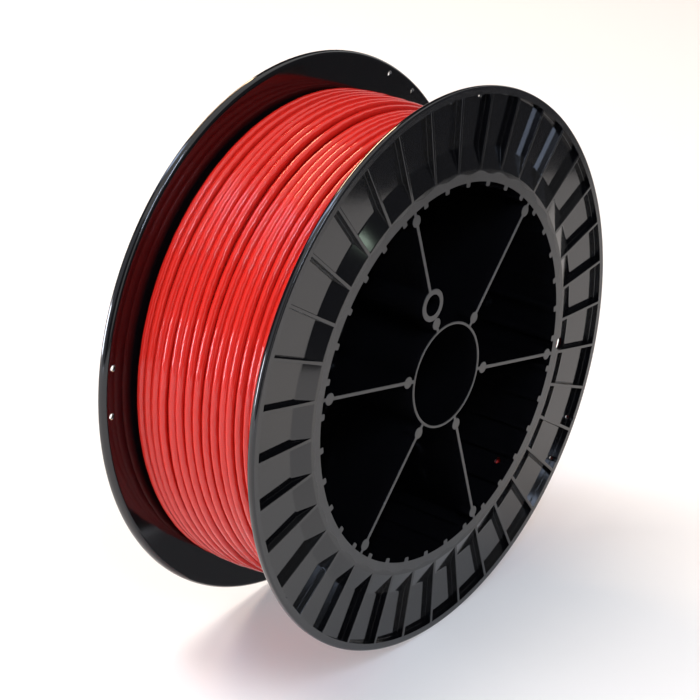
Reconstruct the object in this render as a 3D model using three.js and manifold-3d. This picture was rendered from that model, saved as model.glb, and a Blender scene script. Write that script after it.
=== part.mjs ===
// Plastic cable reel with a red cable wound on it.
// The reel is two equal mouldings that plug together at mid-width. Each one is modelled as its members:
// ribbed flange, half barrel, half hub, five plain webs and the web that carries the drive-pin ring.
// Millimetres. The reel's axis is Y through the origin, +Z is up, the near flange faces -Y.
// Depths are measured inwards from the outer face of a half. Angles are seen from outside the near
// flange: 0 degrees is +X and 90 degrees is +Z.

import * as THREE from 'three';
import { mergeVertices } from 'three/addons/utils/BufferGeometryUtils.js';
import Module from 'manifold-3d';

// ---- driving dimensions ----

const reelWidth = 135;
const flangeRadius = 200;
const flangeWall = 2;

const rimFaceWidth = 5.4;
const rimFrontRound = 1.6;
const rimBackRound = 3.8;
const pocketDepth = 4.5;
const landWidth = 6;
const coneWidth = 15;

const ribCount = 36;
const ribThickness = 2.4;
const firstRibAngle = 5;

const barrelRadius = 138.4;
const barrelWall = 3;
const staveWidth = 4.4;
const staveHeight = 3.2;
const tongueLap = 8;

const hubOuterRadius = 38.2;
const hubWall = 2.1;

const webCount = 6;
const webThickness = 2.6;
const firstWebAngle = 45;
const driveWebIndex = 1;
const driveRingOffset = 22.2;
const driveRingRadius = 11.6;
const driveRingWall = 4;
const padInset = 6.7;
const padRadius = 4.2;
const padLength = 10;

const tieHoleInset = 6.7;
const tieHoleDiameter = 4.4;
const firstTieHoleAngle = 77.5;
const tieHoleSpacing = 10;
const tieHolePairs = 3;
const startHoleOffset = 6.2;
const startHoleDiameter = 9.2;
const startHoleAngle = 347.6;
const barrelHoleAngle = 307;
const barrelHoleDepth = 12.4;
const barrelHoleDiameter = 5;

const farTurn = -75;

const cableDiameter = 6.5;
const turnsPerLayer = 17;
const layerCount = 6;
const layerRise = 6.41;
const windingGap = 3.6;
const crestWidth = 1.9;
const grooveDepth = 2.6;
const lastTurnStart = -40;
const lastTurnEnd = 255;
const startEndFrom = 325;
const startEndTo = 354;

const fitGap = 0.3;
const rimSegments = 72;
const barrelSegments = 36;
const coilSegments = 36;
const hubSegments = 36;
const ringSegments = 20;
const padSegments = 10;
const holeSegments = 8;
const cableSides = 8;
const degreesPerStep = 6;

// ---- sizes worked out from them ----

const outerFace = -reelWidth / 2;
const halfDepth = reelWidth / 2 - fitGap / 2;
const landRadius = barrelRadius + landWidth;
const coneFootRadius = landRadius + coneWidth;
const rimInnerRadius = flangeRadius - rimFaceWidth;
const plateDepth = pocketDepth + flangeWall;
const barrelInnerRadius = barrelRadius - barrelWall;
const tieHoleCentre = flangeRadius - tieHoleInset;
const startHoleCentre = barrelRadius + startHoleOffset;
const driveRingCentre = hubOuterRadius + driveRingOffset;
const cableRadius = cableDiameter / 2;
const outerTurnRadius = barrelRadius + fitGap + cableRadius + (layerCount - 1) * layerRise;
const ribPitch = 360 / ribCount;
const webPitch = 360 / webCount;
const coneSlope = pocketDepth / (coneFootRadius - landRadius);
const facingWebAngle = 180 - firstWebAngle - farTurn;

// How far joined solids run into each other, and how far a cutter runs past what it cuts.
const joinLap = 0.8;
const overcut = 1;

// ---- solids ----

const wasm = await Module();
wasm.setup();

const radians = THREE.MathUtils.degToRad;

function toSolid(geometry) {
  const bare = geometry.index ? geometry.toNonIndexed() : geometry;
  bare.deleteAttribute('normal');
  bare.deleteAttribute('uv');
  const merged = mergeVertices(bare, 1e-4);
  const mesh = new wasm.Mesh({
    numProp: 3,
    vertProperties: new Float32Array(merged.attributes.position.array),
    triVerts: new Uint32Array(merged.index.array),
  });
  return new wasm.Manifold(mesh);
}

function toGeometry(solid) {
  const mesh = solid.getMesh();
  const geometry = new THREE.BufferGeometry();
  geometry.setAttribute('position', new THREE.BufferAttribute(mesh.vertProperties, 3));
  geometry.setIndex(new THREE.BufferAttribute(mesh.triVerts, 1));
  const flat = geometry.toNonIndexed();
  flat.computeVertexNormals();
  return flat;
}

// A closed profile of [radius, depth] points, counter-clockwise with depth pointing up, revolved about
// the axis of the reel. A facet, not an edge, lies at the bottom, so the rim stands on a flat.
function revolve(profile, segments) {
  const points = [...profile, profile[0]];
  const outline = points.map(([radius, depth]) => new THREE.Vector2(radius, outerFace + depth));
  return toSolid(new THREE.LatheGeometry(outline, segments, Math.PI / segments, 2 * Math.PI));
}

// A closed outline of [radius, depth] points made into a plate of even thickness that lies along the
// radius at an angle.
function radialPlate(outline, thickness, angle) {
  const points = outline.map(([radius, depth]) => new THREE.Vector2(radius, outerFace + depth));
  const shape = new THREE.Shape(points);
  const geometry = new THREE.ExtrudeGeometry(shape, { depth: thickness, bevelEnabled: false });
  geometry.translate(0, 0, -thickness / 2);
  geometry.rotateY(-radians(angle));
  return toSolid(geometry);
}

// A round post along the reel's axis between two depths.
function axialPost(centreRadius, angle, radius, fromDepth, toDepth, segments) {
  const geometry = new THREE.CylinderGeometry(radius, radius, toDepth - fromDepth, segments);
  geometry.translate(centreRadius, outerFace + (fromDepth + toDepth) / 2, 0);
  geometry.rotateY(-radians(angle));
  return toSolid(geometry);
}

// The largest radius that stays inside a facetted bore, and the radius of a facetted bore that clears
// a round member.
const insideBore = (radius, segments) => radius * Math.cos(Math.PI / segments) - fitGap;
const boreAround = (radius, segments) => (radius + fitGap) / Math.cos(Math.PI / segments);

function quarterRound(centreRadius, centreDepth, round, fromDegrees, toDegrees, steps) {
  return Array.from({ length: steps + 1 }, (unused, step) => {
    const angle = radians(fromDegrees + ((toDegrees - fromDegrees) * step) / steps);
    return [centreRadius + round * Math.cos(angle), centreDepth + round * Math.sin(angle)];
  });
}

// ---- members of a reel half ----

// The space between two ribs: the cone beside the land, the pocket floor and the rim's inner wall, with
// side walls along the two ribs.
function makePocket(angle) {
  const section = radialPlate(
    [
      [landRadius - overcut / coneSlope, -overcut],
      [rimInnerRadius, -overcut],
      [rimInnerRadius, pocketDepth],
      [coneFootRadius, pocketDepth],
    ],
    2 * flangeRadius * Math.tan(radians(ribPitch / 2)),
    angle,
  );
  const apex = ribThickness / 2 / Math.sin(radians(ribPitch / 2));
  const reach = flangeRadius;
  const spread = (reach - apex) * Math.tan(radians(ribPitch / 2));
  const wedge = new THREE.ExtrudeGeometry(
    new THREE.Shape([
      new THREE.Vector2(apex, 0),
      new THREE.Vector2(reach, -spread),
      new THREE.Vector2(reach, spread),
    ]),
    { depth: pocketDepth + 3 * overcut, bevelEnabled: false },
  );
  wedge.rotateX(Math.PI / 2);
  wedge.translate(0, outerFace + pocketDepth + overcut, 0);
  wedge.rotateY(-radians(angle));
  return section.intersect(toSolid(wedge));
}

// The disc keeps one wall thickness: a land beside the barrel, a cone down to the pocket floors, and a
// solid rim whose long rounding leads the cable in. The ribs stand between its pockets.
function makeFlange(turn) {
  const bore = boreAround(barrelRadius, rimSegments);
  const coneShift = (flangeWall * (Math.hypot(1, coneSlope) - 1)) / coneSlope;
  let flange = revolve(
    [
      [bore, 0],
      ...quarterRound(flangeRadius - rimFrontRound, rimFrontRound, rimFrontRound, -90, 0, 1),
      ...quarterRound(flangeRadius - rimBackRound, plateDepth - rimBackRound, rimBackRound, 0, 90, 2),
      [coneFootRadius - coneShift, plateDepth],
      [landRadius - coneShift, flangeWall],
      [bore, flangeWall],
    ],
    rimSegments,
  );
  for (let pocket = 0; pocket < ribCount; pocket += 1) {
    flange = flange.subtract(makePocket(firstRibAngle + (pocket + 0.5) * ribPitch + turn));
  }

  // The pins that form the tie holes stand partly in the rim and leave a notch in its inner wall.
  for (let pair = 0; pair < tieHolePairs; pair += 1) {
    for (let hole = 0; hole < 2; hole += 1) {
      const angle = firstTieHoleAngle + hole * tieHoleSpacing + (pair * 360) / tieHolePairs + turn;
      const toDepth = plateDepth + overcut;
      flange = flange.subtract(
        axialPost(tieHoleCentre, angle, tieHoleDiameter / 2, -overcut, toDepth, holeSegments),
      );
    }
  }
  const startHole = axialPost(
    startHoleCentre,
    startHoleAngle + turn,
    startHoleDiameter / 2,
    -overcut,
    plateDepth,
    ringSegments,
  );
  return flange.subtract(startHole);
}

// The angle between a direction and the nearest of a ring of members.
function angleToNearest(angle, firstAngle, pitch) {
  const turns = (angle - firstAngle) / pitch;
  return Math.abs(turns - Math.round(turns)) * pitch;
}

// Half of the barrel. Its inner staves stand up to the face and run on past mid-width as tongues, which
// lie inside the other half's wall between that half's staves. A stave that faces a web of the other
// half has no tongue.
function makeBarrel(turn) {
  let barrel = revolve(
    [
      [barrelInnerRadius, 0],
      [barrelRadius, 0],
      [barrelRadius, halfDepth],
      [barrelInnerRadius, halfDepth],
    ],
    barrelSegments,
  );
  const staveTip = barrelInnerRadius - staveHeight;
  const tongueRadius = insideBore(barrelInnerRadius, barrelSegments);
  const tongueRoom = (staveWidth + webThickness) / 2 + fitGap;
  for (let stave = 0; stave < ribCount; stave += 1) {
    const angle = stave * ribPitch;
    const besideWeb = radians(angleToNearest(angle, facingWebAngle, webPitch)) * staveTip;
    const lap = besideWeb > tongueRoom ? tongueLap : 0;
    const staveOutline = [
      [staveTip, 0],
      [barrelInnerRadius + joinLap, 0],
      [barrelInnerRadius + joinLap, halfDepth],
      [tongueRadius, halfDepth],
      [tongueRadius, halfDepth + lap],
      [staveTip, halfDepth + lap],
    ];
    barrel = barrel.add(radialPlate(staveOutline, staveWidth, angle + turn));
  }
  const hole = new THREE.CylinderGeometry(
    barrelHoleDiameter / 2,
    barrelHoleDiameter / 2,
    2 * (barrelWall + staveHeight + overcut),
    holeSegments,
  );
  hole.rotateZ(Math.PI / 2);
  hole.translate(barrelRadius, outerFace + barrelHoleDepth, 0);
  hole.rotateY(-radians(barrelHoleAngle + turn));
  return barrel.subtract(toSolid(hole));
}

function makeHub() {
  return revolve(
    [
      [hubOuterRadius - hubWall, 0],
      [hubOuterRadius, 0],
      [hubOuterRadius, halfDepth],
      [hubOuterRadius - hubWall, halfDepth],
    ],
    hubSegments,
  );
}

// A web from the hub to the barrel with an ejector pad near each end.
function makeWeb(angle) {
  const inner = hubOuterRadius + fitGap;
  const outer = insideBore(barrelInnerRadius, barrelSegments);
  let web = radialPlate(
    [
      [inner, 0],
      [outer, 0],
      [outer, halfDepth],
      [inner, halfDepth],
    ],
    webThickness,
    angle,
  );
  for (const centre of [inner + padInset, outer - padInset]) {
    web = web.add(axialPost(centre, angle, padRadius, 0, padLength, padSegments));
  }
  return web;
}

// One web carries the ring that takes the pin of a winding machine.
function makeDriveWeb(angle) {
  const ring = axialPost(driveRingCentre, angle, driveRingRadius, 0, halfDepth, ringSegments);
  const boreRadius = driveRingRadius - driveRingWall;
  const bore = axialPost(driveRingCentre, angle, boreRadius, -overcut, halfDepth + overcut, ringSegments);
  return makeWeb(angle).add(ring).subtract(bore);
}

// ---- cable ----

// Depths at which the coils start and end between the two flange discs.
const coilStart = plateDepth + windingGap;
const coilEnd = reelWidth - coilStart;
const turnPitch = (coilEnd - coilStart) / turnsPerLayer;
const innerCoilRadius = outerTurnRadius - cableRadius - fitGap;

function makeInnerLayers() {
  const bore = boreAround(barrelRadius, coilSegments);
  return revolve(
    [
      [bore, coilStart],
      [innerCoilRadius, coilStart],
      [innerCoilRadius, coilEnd],
      [bore, coilEnd],
    ],
    coilSegments,
  );
}

// The outer layer without its last turn, with a groove between each two turns.
function makeOuterLayer() {
  const bore = innerCoilRadius + fitGap;
  const crestRadius = outerTurnRadius + cableRadius;
  const grooveRadius = crestRadius - grooveDepth;
  const firstTurn = coilStart + turnPitch + fitGap;
  const profile = [[grooveRadius, firstTurn]];
  for (let turn = 1; turn < turnsPerLayer; turn += 1) {
    const middle = coilStart + (turn + 0.5) * turnPitch;
    profile.push([crestRadius, middle - crestWidth / 2]);
    profile.push([crestRadius, middle + crestWidth / 2]);
    profile.push([grooveRadius, middle + turnPitch / 2]);
  }
  profile.push([bore, coilEnd]);
  profile.push([bore, firstTurn]);
  return revolve(profile, coilSegments);
}

class TurnCurve extends THREE.Curve {
  constructor(radius, depth, fromDegrees, toDegrees) {
    super();
    Object.assign(this, { radius, depth, fromDegrees, toDegrees });
  }

  getPoint(t, target = new THREE.Vector3()) {
    const angle = radians(this.fromDegrees + (this.toDegrees - this.fromDegrees) * t);
    return target.set(this.radius * Math.cos(angle), outerFace + this.depth, this.radius * Math.sin(angle));
  }
}

function makeTurn(radius, depth, fromDegrees, toDegrees) {
  const section = new THREE.Shape();
  for (let side = 0; side < cableSides; side += 1) {
    const angle = ((side + 0.5) * 2 * Math.PI) / cableSides;
    const point = [cableRadius * Math.cos(angle), cableRadius * Math.sin(angle)];
    if (side === 0) section.moveTo(...point);
    else section.lineTo(...point);
  }
  section.closePath();
  return toSolid(
    new THREE.ExtrudeGeometry(section, {
      steps: Math.round(Math.abs(toDegrees - fromDegrees) / degreesPerStep),
      extrudePath: new TurnCurve(radius, depth, fromDegrees, toDegrees),
      bevelEnabled: false,
    }),
  );
}

// ---- assembly ----

const blackPlastic = new THREE.MeshStandardMaterial({ color: 0x232326, roughness: 0.35, metalness: 0 });
const redSheath = new THREE.MeshStandardMaterial({ color: 0xd92c22, roughness: 0.45, metalness: 0 });

function addPiece(group, name, solid, material) {
  const mesh = new THREE.Mesh(toGeometry(solid), material);
  mesh.name = name;
  group.add(mesh);
}

function makeHalf(side, turn) {
  const half = new THREE.Group();
  addPiece(half, `${side}_flange`, makeFlange(turn), blackPlastic);
  addPiece(half, `${side}_barrel`, makeBarrel(turn), blackPlastic);
  addPiece(half, `${side}_hub`, makeHub(), blackPlastic);
  for (let web = 0; web < webCount; web += 1) {
    const angle = firstWebAngle + web * webPitch + turn;
    if (web === driveWebIndex) addPiece(half, `${side}_drive_web`, makeDriveWeb(angle), blackPlastic);
    else addPiece(half, `${side}_web_${web + 1}`, makeWeb(angle), blackPlastic);
  }
  return half;
}

const reel = new THREE.Group();
reel.add(makeHalf('near', 0));

const farHalf = makeHalf('far', farTurn);
farHalf.rotation.z = Math.PI;
reel.add(farHalf);

const recessRadius = barrelRadius + fitGap + cableRadius;
const recessDepth = flangeWall + fitGap + cableRadius;
addPiece(reel, 'cable_inner_layers', makeInnerLayers(), redSheath);
addPiece(reel, 'cable_outer_layer', makeOuterLayer(), redSheath);
addPiece(
  reel,
  'cable_last_turn',
  makeTurn(outerTurnRadius, coilStart + cableRadius, lastTurnStart, lastTurnEnd),
  redSheath,
);
addPiece(
  reel,
  'cable_start_end',
  makeTurn(recessRadius, recessDepth, startEndFrom, startEndTo),
  redSheath,
);

export default reel;
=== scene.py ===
# A moulded plastic cable reel with red cable wound on it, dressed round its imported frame.
#
# Metres, +Z up. The reel's axis is Y through the origin and the near flange faces -Y. The reel is two
# equal mouldings plugged together at mid-width, so each shape is worked out once in the moulding's own
# terms (radius, angle, depth below its outer face) and then placed as the near or the far half.

import math
from functools import cache, partial

import bpy
import numpy as np
from mathutils import Matrix, Vector


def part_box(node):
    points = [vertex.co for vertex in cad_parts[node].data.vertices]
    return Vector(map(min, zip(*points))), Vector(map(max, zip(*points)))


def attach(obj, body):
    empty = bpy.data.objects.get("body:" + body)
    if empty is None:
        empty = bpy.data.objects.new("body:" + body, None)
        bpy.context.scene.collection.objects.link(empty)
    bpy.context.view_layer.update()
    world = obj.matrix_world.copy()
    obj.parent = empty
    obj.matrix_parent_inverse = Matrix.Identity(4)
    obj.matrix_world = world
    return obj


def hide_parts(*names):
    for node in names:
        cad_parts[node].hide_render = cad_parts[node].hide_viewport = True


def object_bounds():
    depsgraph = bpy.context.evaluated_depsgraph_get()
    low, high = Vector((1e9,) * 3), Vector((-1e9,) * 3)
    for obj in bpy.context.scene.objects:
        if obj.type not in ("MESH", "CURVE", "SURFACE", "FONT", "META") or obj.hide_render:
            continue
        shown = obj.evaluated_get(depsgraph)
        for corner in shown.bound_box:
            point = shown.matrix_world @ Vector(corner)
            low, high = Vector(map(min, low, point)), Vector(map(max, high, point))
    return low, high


bl_info = {
    "name": "Cable Reel",
    "version": (1, 0, 0),
    "blender": (4, 5, 0),
    "location": "View3D > Sidebar > Cable Reel",
    "description": "Builds a moulded plastic reel, its winding of red cable and a plain studio",
    "category": "Object",
}

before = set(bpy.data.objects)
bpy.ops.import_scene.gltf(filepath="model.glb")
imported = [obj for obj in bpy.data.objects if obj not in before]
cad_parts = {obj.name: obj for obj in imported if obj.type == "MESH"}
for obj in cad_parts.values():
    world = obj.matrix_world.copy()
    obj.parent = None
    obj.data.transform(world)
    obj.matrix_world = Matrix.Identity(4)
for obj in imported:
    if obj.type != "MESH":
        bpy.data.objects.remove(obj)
CAD_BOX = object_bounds()

MM = 0.001
SIDES = ("near", "far")
PHOTO_PIXELS = 700

# ---- places taken from the frame ----

REEL_RADIUS = CAD_BOX[1].x
HALF_WIDTH = CAD_BOX[1].y
PLATE_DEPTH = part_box("near_flange")[1].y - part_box("near_flange")[0].y
HALF_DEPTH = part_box("near_hub")[1].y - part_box("near_hub")[0].y
TONGUE_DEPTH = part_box("near_barrel")[1].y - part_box("near_barrel")[0].y
FLOOR_HEIGHT = CAD_BOX[0].z

# ---- arrangement of the moulding, in degrees, before a half is turned into place ----

RIB_PITCH = 10.0
FIRST_RIB = 5.0
WEB_ANGLES = (45.0, 105.0, 165.0, 225.0, 285.0, 345.0)
DRIVE_WEB = 1
TIE_HOLE_ANGLES = (77.5, 87.5, 197.5, 207.5, 317.5, 327.5)
START_HOLE_ANGLE = 347.6
BARREL_HOLE_ANGLE = 307.0
HALF_TURN = {"near": 0.0, "far": -75.0}


# ---- colours ----


def linear(code):
    """The linear colour of an sRGB hex value such as #d92c22."""
    values = [int(code[i : i + 2], 16) / 255 for i in (1, 3, 5)]
    return [v / 12.92 if v <= 0.04045 else ((v + 0.055) / 1.055) ** 2.4 for v in values]


def length(name, description, millimetres):
    """A size property with its default in millimetres."""
    return bpy.props.FloatProperty(
        name=name, description=description, default=millimetres * MM, min=0.0, unit="LENGTH", precision=4
    )


def colour(name, description, code):
    """A colour property with its default as an sRGB hex value."""
    return bpy.props.FloatVectorProperty(
        name=name, description=description, default=linear(code), size=3, min=0, max=1, subtype="COLOR"
    )


# ---- sizes and colours a user would change ----


class MouldingSizes(bpy.types.PropertyGroup):
    """Sizes of one reel half."""

    rim_face: length("Rim face", "Width of the flat band at the outer edge", 5.4)
    rim_front_round: length("Rim front round", "Rounding of the rim towards the outer face", 1.6)
    rim_back_round: length("Rim back round", "Rounding of the rim towards the cable", 3.8)
    pocket_depth: length("Pocket depth", "Depth of the pocket floors below the face", 4.5)
    flange_wall: length("Flange wall", "Wall thickness of the flange disc", 2.0)
    land_width: length("Land width", "Width of the flat band beside the barrel", 6.0)
    cone_width: length("Cone width", "Width of the slope from land to pocket floor", 15.0)
    rib_thickness: length("Rib thickness", "Thickness of the radial ribs", 2.4)
    rib_draft: length("Rib draft", "How much each side of a rib widens downwards", 0.15)
    rib_edge: length("Rib edge", "Rounding along the top edges of the ribs", 0.35)
    floor_fillet: length("Floor fillet", "Fillet where a rib or wall meets a floor", 0.15)
    barrel_radius: length("Barrel radius", "Outer radius of the barrel", 138.4)
    barrel_wall: length("Barrel wall", "Wall thickness of the barrel", 3.0)
    stave_width: length("Stave width", "Width of the small ribs inside the barrel", 4.4)
    stave_height: length("Stave height", "Height of the small ribs inside the barrel", 3.2)
    hub_radius: length("Hub radius", "Outer radius of the hub tube", 38.2)
    hub_wall: length("Hub wall", "Wall thickness of the hub tube", 2.1)
    web_thickness: length("Web thickness", "Thickness of the webs between hub and barrel", 2.6)
    pad_inset: length("Pad inset", "Distance of an ejector pad from its web's end", 6.7)
    pad_radius: length("Pad radius", "Radius of the ejector pads", 4.2)
    pad_length: length("Pad length", "How deep the ejector pads reach", 10.0)
    drive_offset: length("Drive ring offset", "Distance of the drive ring's centre from the hub", 22.2)
    drive_radius: length("Drive ring radius", "Outer radius of the drive ring", 11.6)
    drive_wall: length("Drive ring wall", "Wall thickness of the drive ring", 4.0)
    tie_hole: length("Tie hole", "Diameter of the holes for cable ties", 4.4)
    tie_hole_inset: length("Tie hole inset", "Distance of the tie holes from the outer edge", 6.7)
    start_hole: length("Start hole", "Diameter of the hole for the cable's start", 9.2)
    start_hole_offset: length("Start hole offset", "Distance of the start hole from the barrel", 6.2)
    barrel_hole: length("Barrel hole", "Diameter of the hole in the barrel's wall", 5.0)
    barrel_hole_depth: length("Barrel hole depth", "Depth of that hole below the face", 12.4)


class CableSizes(bpy.types.PropertyGroup):
    """Sizes of the cable and its winding."""

    diameter: length("Diameter", "Diameter of the cable over its sheath", 6.5)
    end_gap: length("End gap", "Space between the winding and each flange", 3.6)
    turns: bpy.props.IntProperty(
        name="Turns", description="Turns side by side in a layer", default=17, min=2
    )
    outer_radius: length("Outer turn radius", "Radius of the outer turns' centre line", 172.3)
    near_sag: length("Near sag", "How much lower the winding lies at the near flange", 5.0)
    layer_rise: length("Layer rise", "How much each layer adds to the radius", 6.41)
    sway: length("Sway", "How far a turn wanders sideways in the winding", 0.75)
    lift: length("Lift", "How far a turn wanders in and out", 0.5)
    lay_length: length("Lay length", "Length of one twist of the cores under the sheath", 46.0)
    crossing_start: bpy.props.FloatProperty(
        name="Crossing start",
        description="Angle at which each turn starts to step over to the next place",
        default=math.radians(255),
        subtype="ANGLE",
    )
    crossing_end: bpy.props.FloatProperty(
        name="Crossing end",
        description="Angle at which that step ends",
        default=math.radians(320),
        subtype="ANGLE",
    )


class ReelColours(bpy.types.PropertyGroup):
    """Colours of the reel, the cable and the floor."""

    plastic: colour("Plastic", "Black of the moulded reel", "#0b0b0d")
    scuffed: colour("Scuffed plastic", "Paler black of the faces that rub on the ground", "#303031")
    sheath: colour("Sheath", "Red of the cable's sheath", "#d0281c")
    sheath_deep: colour("Deep sheath", "Darker red that the sheath drifts to", "#b81913")
    floor: colour("Floor", "Pale grey floor under the reel, before it is lifted", "#dcdcdc")


# ---- mesh making ----

# Points are joined in cells of this size, shifted so that round measures stay off the cells' borders.
WELD_CELL = 1e-3 * MM
WELD_SHIFT = 0.2371


def shell(points, texture=None):
    """A sheet of quads between neighbouring points of a (rows, columns, 3) grid.

    It closes where its first and last rows or columns fall on the same points, or where a row shrinks
    to one point. texture holds a (rows, columns, 2) grid of texture places, or nothing.
    """
    rows, columns = points.shape[:2]
    index = np.arange(rows * columns).reshape(rows, columns)
    corners = np.stack([index[:-1, :-1], index[:-1, 1:], index[1:, 1:], index[1:, :-1]], axis=-1)
    places = np.zeros((rows, columns, 2)) if texture is None else texture
    return points.reshape(-1, 3), corners.reshape(-1, 4), places.reshape(-1, 2)


def weld(points, corners):
    """Joins points that fall in one cell and drops the faces that this collapses."""
    keys = np.round(points / WELD_CELL + WELD_SHIFT).astype(np.int64)
    _, first, number = np.unique(keys, axis=0, return_index=True, return_inverse=True)
    joined = number.reshape(-1)[corners]
    repeated = joined == np.roll(joined, -1, axis=1)
    folded = (joined[:, 0] == joined[:, 2]) | (joined[:, 1] == joined[:, 3])
    whole = ~repeated.any(axis=1) & ~folded
    halved = (repeated.sum(axis=1) == 1) & ~folded
    keep = ~repeated[halved]
    triangles, triangle_corners = (grid[halved][keep].reshape(-1, 3) for grid in (joined, corners))
    return points[first], joined[whole], corners[whole], triangles, triangle_corners


def enclosed_volume(points, quads, triangles):
    """Signed volume inside a closed mesh: the sum of a.(b x c)/6 over its triangles."""
    split = np.concatenate([quads[:, [0, 1, 2]], quads[:, [0, 2, 3]], triangles.reshape(-1, 3)])
    a, b, c = (points[split[:, i]] for i in range(3))
    return np.einsum("ij,ij->i", a, np.cross(b, c)).sum() / 6


def add_object(name, data):
    """A new object at the origin that holds a mesh, a light or a camera."""
    item = bpy.data.objects.new(name, data)
    bpy.context.scene.collection.objects.link(item)
    return item


def smooth(mesh, sharp_angle=40.0):
    """Shades a mesh smooth between its edges that are sharper than the angle in degrees."""
    mesh.shade_smooth()
    mesh.set_sharp_from_angle(angle=math.radians(sharp_angle))


def add_shells(name, shells, sharp_angle=40.0):
    """A new object with one mesh of closed shells, each turned to face outwards."""
    points, faces, places = [], [], []
    offset = 0
    for raw_points, corners, texture in shells:
        welded, quads, quad_corners, triangles, triangle_corners = weld(raw_points, corners)
        turn = -1 if enclosed_volume(welded, quads, triangles) < 0 else 1
        points.append(welded)
        faces += (quads + offset)[:, ::turn].tolist() + (triangles + offset)[:, ::turn].tolist()
        places += [texture[grid[:, ::turn]].reshape(-1, 2) for grid in (quad_corners, triangle_corners)]
        offset += len(welded)
    mesh = bpy.data.meshes.new(name)
    mesh.from_pydata(np.concatenate(points).tolist(), [], faces)
    along = np.concatenate(places).astype(np.float32).ravel()
    mesh.uv_layers.new(name="along").uv.foreach_set("vector", along)
    mesh.validate()
    smooth(mesh, sharp_angle)
    return add_object(name, mesh)


def carve(item, cutters, operation="DIFFERENCE"):
    """Cuts the cutters out of an object, or joins them to it, and keeps only the result."""
    for cutter in cutters:
        step = item.modifiers.new("carve", "BOOLEAN")
        step.operation = operation
        step.solver = "EXACT"
        step.object = cutter
    bpy.context.view_layer.update()
    made = bpy.data.meshes.new_from_object(item.evaluated_get(bpy.context.evaluated_depsgraph_get()))
    old = item.data
    item.modifiers.clear()
    item.data = made
    bpy.data.meshes.remove(old)
    for cutter in cutters:
        bpy.data.meshes.remove(cutter.data)
    smooth(item.data)


def join_meshes(item, other):
    """Adds the other object's mesh to the first one's and removes the other object."""
    with bpy.context.temp_override(active_object=item, selected_editable_objects=[item, other]):
        bpy.ops.object.join()


def dress(item, slot, *nodes):
    """Gives a piece its material slot and finish, its body, and the frame's nodes that it replaces."""
    item.data.materials.clear()
    item.data.materials.append(finish_for(slot))
    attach(item, "root")
    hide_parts(*nodes)


# ---- profiles and placing ----

# A guard point stands this far from a rounding, so that its smooth shading stays off the flat beside it.
GUARD = 0.25 * MM


def rounded(corners, steps=4):
    """A line through (radius, depth, fillet) corners, with each fillet as an arc tangent to both sides
    and a guard point on the straight line before and after it."""
    points = np.array([corner[:2] for corner in corners], dtype=float)
    line = [points[:1]]
    fillets = [corner[2] for corner in corners[1:-1]]
    for before, corner, after, fillet in zip(points, points[1:], points[2:], fillets):
        back = (before - corner) / np.linalg.norm(before - corner)
        ahead = (after - corner) / np.linalg.norm(after - corner)
        half = math.acos(np.clip(back @ ahead, -1, 1)) / 2
        if fillet <= 0:
            line.append(corner[None])
            continue
        reach = fillet / math.tan(half)
        bisector = (back + ahead) / np.linalg.norm(back + ahead)
        centre = corner + bisector * fillet / math.sin(half)
        start, end = corner + back * reach - centre, corner + ahead * reach - centre
        share = np.linspace(0, 1, steps + 1)[:, None]
        swing = math.pi - 2 * half
        arc = (np.sin((1 - share) * swing) * start + np.sin(share * swing) * end) / math.sin(swing)
        first_guard = corner + back * (reach + GUARD)
        last_guard = corner + ahead * (reach + GUARD)
        line += [first_guard[None], centre + arc, last_guard[None]]
    line.append(points[-1:])
    return np.concatenate(line)


def place_half(radius, angle, depth, side):
    """Points of a half from its own radius, angle in radians and depth below its outer face.

    Near half: (r cos a, -w + d, r sin a). Far half: the same moulding turned by its own turn about the
    reel's axis and then end for end, (-r cos a, w - d, r sin a).
    """
    turned = angle + math.radians(HALF_TURN[side])
    sign = 1 if side == "near" else -1
    radius, turned, depth = np.broadcast_arrays(radius, turned, depth)
    across = sign * radius * np.cos(turned)
    along = sign * (depth - HALF_WIDTH)
    return np.stack([across, along, radius * np.sin(turned)], axis=-1)


def revolved(profile, side, segments):
    """A closed (radius, depth) profile carried round the axis: the angle runs on, the rest stays."""
    closed = np.vstack([profile, profile[:1]])
    angle = np.linspace(0, 2 * math.pi, segments + 1)[None, :]
    return shell(place_half(closed[:, :1], angle, closed[:, 1:], side))


def prism(outline, side, from_depth, to_depth, edge):
    """A closed outline of (across, up) points in the moulding's own plane, carried along the depth.

    The outline is drawn in by the edge rounding at both ends: p(t, d) = p(t) - n(t) inset(d).
    """
    closed = np.vstack([outline, outline[:1]])
    ahead = np.roll(outline, -1, axis=0) - np.roll(outline, 1, axis=0)
    normal = np.stack([ahead[:, 1], -ahead[:, 0]], axis=-1)
    normal /= np.linalg.norm(normal, axis=1, keepdims=True)
    normal = np.vstack([normal, normal[:1]])
    turn = np.linspace(0, math.pi / 2, 4)
    swell = edge * (1 - np.sin(turn))
    sink = edge * (1 - np.cos(turn))
    guard = min(GUARD, edge)
    inset = np.concatenate([[edge + guard], swell, [0, 0], swell[::-1], [edge + guard]])
    above = np.concatenate([[0], sink, [edge + guard]])
    depth = np.concatenate([from_depth + above, to_depth - above[::-1]])
    flat = closed[None] - normal[None] * inset[:, None, None]
    centre = np.broadcast_to(outline.mean(axis=0), closed.shape)[None]
    flat = np.concatenate([centre, flat, centre])
    depth = np.concatenate([depth[:1], depth, depth[-1:]])[:, None]
    radius = np.linalg.norm(flat, axis=-1)
    angle = np.arctan2(flat[..., 1], flat[..., 0])
    return shell(place_half(radius, angle, depth, side))


def disc_outline(centre_radius, angle, radius, segments):
    """Points round a circle that stands at a radius and an angle of the moulding."""
    turn = np.linspace(0, 2 * math.pi, segments, endpoint=False)
    centre = centre_radius * np.array([math.cos(angle), math.sin(angle)])
    return centre + radius * np.stack([np.cos(turn), np.sin(turn)], axis=-1)


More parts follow.
